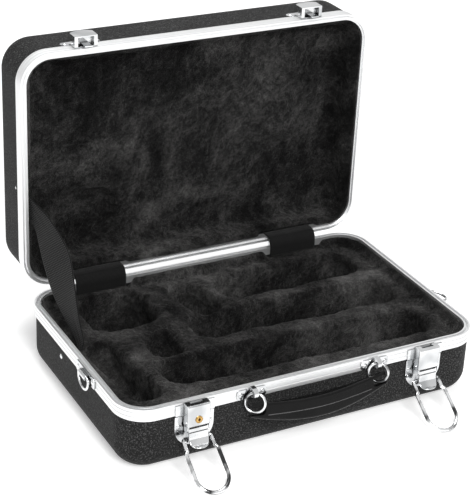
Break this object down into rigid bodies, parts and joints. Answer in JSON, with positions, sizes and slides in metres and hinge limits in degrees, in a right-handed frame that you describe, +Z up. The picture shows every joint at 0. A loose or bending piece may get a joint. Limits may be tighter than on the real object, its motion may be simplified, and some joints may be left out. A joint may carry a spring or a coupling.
{
  "type": "instrument case",
  "caption": "Hard moulded clarinet case with aluminium valances, fitted plush insert, hinged lid with a webbing stay, two bail latches, a handle on rings and rings for a strap.",
  "frame": {"origin": "middle of the underside of the base", "axes": "+X along the long side, to the right seen from the handle; -Y is the handle side; +Z up"},
  "size_m": [0.4141, 0.3798, 0.3358],
  "materials": {
    "shell": "black moulded ABS with a fine pebble grain",
    "valance": "bright anodised extrusion with rolled lines",
    "plush": "short black plush over moulded foam",
    "plated_steel": "bright nickel plate on pressed sheet and wire",
    "cloth": "plain black coated cloth",
    "webbing": "black woven polypropylene webbing",
    "grip": "satin black moulded vinyl",
    "lock_brass": "turned brass"
  },
  "bodies": {
    "base": {"base_shell": "shell", "base_valance": "valance", "base_insert": "plush", "base_rivets": "plated_steel", "lid_stay_strap": "webbing", "hinge_left_base_leaf": "plated_steel", "hinge_left_pin": "plated_steel", "hinge_left_cover": "cloth", "latch_left_plate": "plated_steel", "latch_left_housing": "plated_steel", "latch_left_lever_pin": "plated_steel", "handle_bracket_left": "plated_steel", "strap_bracket_left": "plated_steel", "hinge_right_base_leaf": "plated_steel", "hinge_right_pin": "plated_steel", "hinge_right_cover": "cloth", "latch_right_plate": "plated_steel", "latch_right_housing": "plated_steel", "latch_right_lever_pin": "plated_steel", "handle_bracket_right": "plated_steel", "strap_bracket_right": "plated_steel"},
    "lid": {"lid_shell": "shell", "lid_valance": "valance", "lid_liner": "plush", "lid_rivets": "plated_steel", "hinge_left_lid_leaf": "plated_steel", "keeper_left": "plated_steel", "hinge_right_lid_leaf": "plated_steel", "keeper_right": "plated_steel"},
    "lock": {"lock_cylinder": "lock_brass"},
    "grip": {"handle_grip": "grip"},
    "lever_left": {"latch_left_lever": "plated_steel"},
    "bail_left": {"latch_left_bail": "plated_steel"},
    "lever_right": {"latch_right_lever": "plated_steel"},
    "bail_right": {"latch_right_bail": "plated_steel"},
    "ring_left": {"handle_ring_left": "plated_steel"},
    "ring_right": {"handle_ring_right": "plated_steel"},
    "strap_ring_left": {"strap_ring_left": "plated_steel"},
    "strap_ring_right": {"strap_ring_right": "plated_steel"}
  },
  "joints": [
    {"name": "lid_hinge", "type": "hinge", "parent": "base", "child": "lid", "pos_m": [0, 0.128, 0.071], "axis": [1, 0, 0], "range_deg": [0, 90], "deforming": ["lid_stay_strap", "hinge_left_cover", "hinge_right_cover"]},
    {"name": "lever_left", "type": "hinge", "parent": "base", "child": "lever_left", "pos_m": [-0.126, -0.131, 0.045], "axis": [1, 0, 0], "range_deg": [-80, 0]},
    {"name": "bail_left", "type": "hinge", "parent": "lever_left", "child": "bail_left", "pos_m": [-0.126, -0.131, 0.034], "axis": [-1, 0, 0], "range_deg": [-50, 127.2]},
    {"name": "lever_right", "type": "hinge", "parent": "base", "child": "lever_right", "pos_m": [0.126, -0.131, 0.045], "axis": [1, 0, 0], "range_deg": [-80, 0]},
    {"name": "bail_right", "type": "hinge", "parent": "lever_right", "child": "bail_right", "pos_m": [0.126, -0.131, 0.034], "axis": [-1, 0, 0], "range_deg": [-50, 127.2]},
    {"name": "lock_turn", "type": "hinge", "parent": "base", "child": "lock", "pos_m": [-0.126, -0.1353, 0.055], "axis": [0, -1, 0], "range_deg": [0, 90]},
    {"name": "handle_ring_left", "type": "hinge", "parent": "base", "child": "ring_left", "pos_m": [-0.0675, -0.131, 0.0663], "axis": [-1, 0, 0], "range_deg": [0, 110]},
    {"name": "handle_ring_right", "type": "hinge", "parent": "base", "child": "ring_right", "pos_m": [0.0675, -0.131, 0.0663], "axis": [-1, 0, 0], "range_deg": [0, 110]},
    {"name": "handle_grip", "type": "hinge", "parent": "ring_left", "child": "grip", "pos_m": [0, -0.13675, 0.04861], "axis": [-1, 0, 0], "range_deg": [0, 4]},
    {"name": "strap_ring_left", "type": "hinge", "parent": "base", "child": "strap_ring_left", "pos_m": [-0.1979, -0.034, 0.064], "axis": [0, 1, 0], "range_deg": [0, 150]},
    {"name": "strap_ring_right", "type": "hinge", "parent": "base", "child": "strap_ring_right", "pos_m": [0.1979, -0.034, 0.064], "axis": [0, -1, 0], "range_deg": [-75, 75]}
  ],
  "couplings": [
    {"joint": "handle_ring_right", "follows": "handle_ring_left", "ratio": 1}
  ]
}
